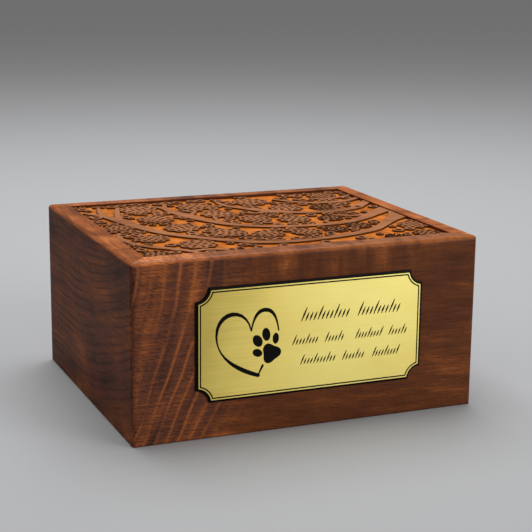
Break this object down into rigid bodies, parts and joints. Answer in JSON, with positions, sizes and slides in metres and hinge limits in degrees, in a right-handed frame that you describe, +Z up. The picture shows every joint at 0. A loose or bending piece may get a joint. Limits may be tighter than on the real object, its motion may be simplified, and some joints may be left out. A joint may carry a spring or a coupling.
{
  "type": "cremation urn box",
  "caption": "Hollow wooden urn box with mitred walls, a recessed top panel carved with boughs and blossoms, a screwed base and an engraved plaque on the front.",
  "frame": {"origin": "on the surface that the urn stands on, under the middle of its bounding box, which takes in the plaque", "axes": "+X along the width, to the right seen from the front; +Y from the front with the plaque to the back; +Z up"},
  "size_m": [0.21, 0.1784, 0.103],
  "materials": {
    "rosewood": "satin clear lacquer over dark reddish-brown wood with figured grain",
    "carved_rosewood": "hand-carved, purple-brown face over an orange-brown ground, satin lacquer",
    "engraved_plate": "brushed gold skin over a black core, engraved",
    "screw_brass": "plain turned brass"
  },
  "bodies": {
    "root": {"wall_front": "rosewood", "wall_back": "rosewood", "wall_left": "rosewood", "wall_right": "rosewood", "top_panel": "carved_rosewood", "base_panel": "rosewood", "plaque": "engraved_plate", "base_screw_1": "screw_brass", "base_screw_2": "screw_brass", "base_screw_3": "screw_brass", "base_screw_4": "screw_brass"}
  },
  "joints": []
}
